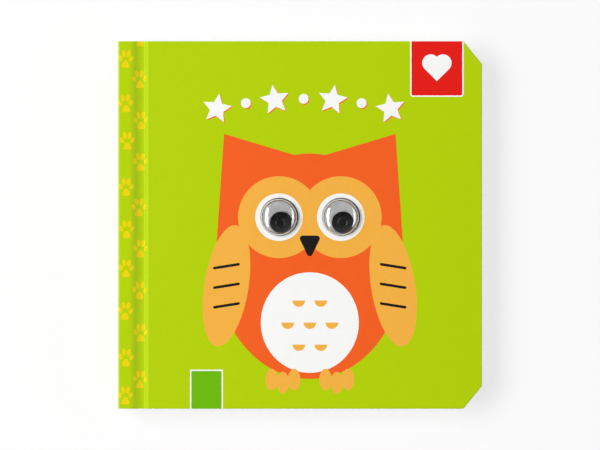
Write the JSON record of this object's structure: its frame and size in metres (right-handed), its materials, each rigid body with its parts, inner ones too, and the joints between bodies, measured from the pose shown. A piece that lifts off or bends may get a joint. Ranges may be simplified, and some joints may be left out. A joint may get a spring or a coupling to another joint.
{
  "type": "baby board book",
  "caption": "Square board book for babies with stiff pages, hinged covers with pressed grooves and clipped corners, and clear wiggle eyes on the printed front.",
  "frame": {"origin": "middle of the back cover's outer face, on which the book lies", "axes": "+X from the spine to the fore edge, +Y from the tail to the head, +Z from the back cover to the front cover"},
  "size_m": [0.1484, 0.15, 0.02],
  "materials": {
    "cover_print": "lime print under a thin satin film on white board",
    "page_board": "white coated board with cut edges",
    "eye_clear": "clear polished plastic",
    "eye_white": "smooth white plastic",
    "eye_black": "smooth black plastic",
    "ink_orange": "orange print under a thin satin film",
    "ink_amber": "amber print under a thin satin film",
    "ink_white": "unprinted white under a thin satin film",
    "ink_black": "black print under a thin satin film",
    "ink_red": "red print under a thin satin film",
    "ink_green": "green print under a thin satin film"
  },
  "bodies": {
    "block": {"spine": "cover_print", "page_block": "page_board"},
    "front": {"front_cover": "cover_print", "left_eye_dome": "eye_clear", "right_eye_dome": "eye_clear", "left_eye_back": "eye_white", "right_eye_back": "eye_white", "print_orange": "ink_orange", "print_amber": "ink_amber", "print_white": "ink_white", "print_black": "ink_black", "print_red": "ink_red", "print_green": "ink_green"},
    "back": {"back_cover": "cover_print"},
    "left_pupil": {"left_eye_pupil": "eye_black"},
    "right_pupil": {"right_eye_pupil": "eye_black"}
  },
  "joints": [
    {"name": "front_cover_hinge", "type": "hinge", "parent": "block", "child": "front", "pos_m": [-0.06435, 0, 0.0154], "axis": [0, -1, 0], "range_deg": [0, 175]},
    {"name": "back_cover_hinge", "type": "hinge", "parent": "block", "child": "back", "pos_m": [-0.06435, 0, 0], "axis": [0, 1, 0], "range_deg": [0, 175]},
    {"name": "left_pupil_roll", "type": "hinge", "parent": "front", "child": "left_pupil", "pos_m": [-0.0086, 0.0032, 0.0154], "axis": [0, 0, 1], "continuous": true},
    {"name": "right_pupil_roll", "type": "hinge", "parent": "front", "child": "right_pupil", "pos_m": [0.0166, 0.0032, 0.0154], "axis": [0, 0, 1], "continuous": true}
  ]
}
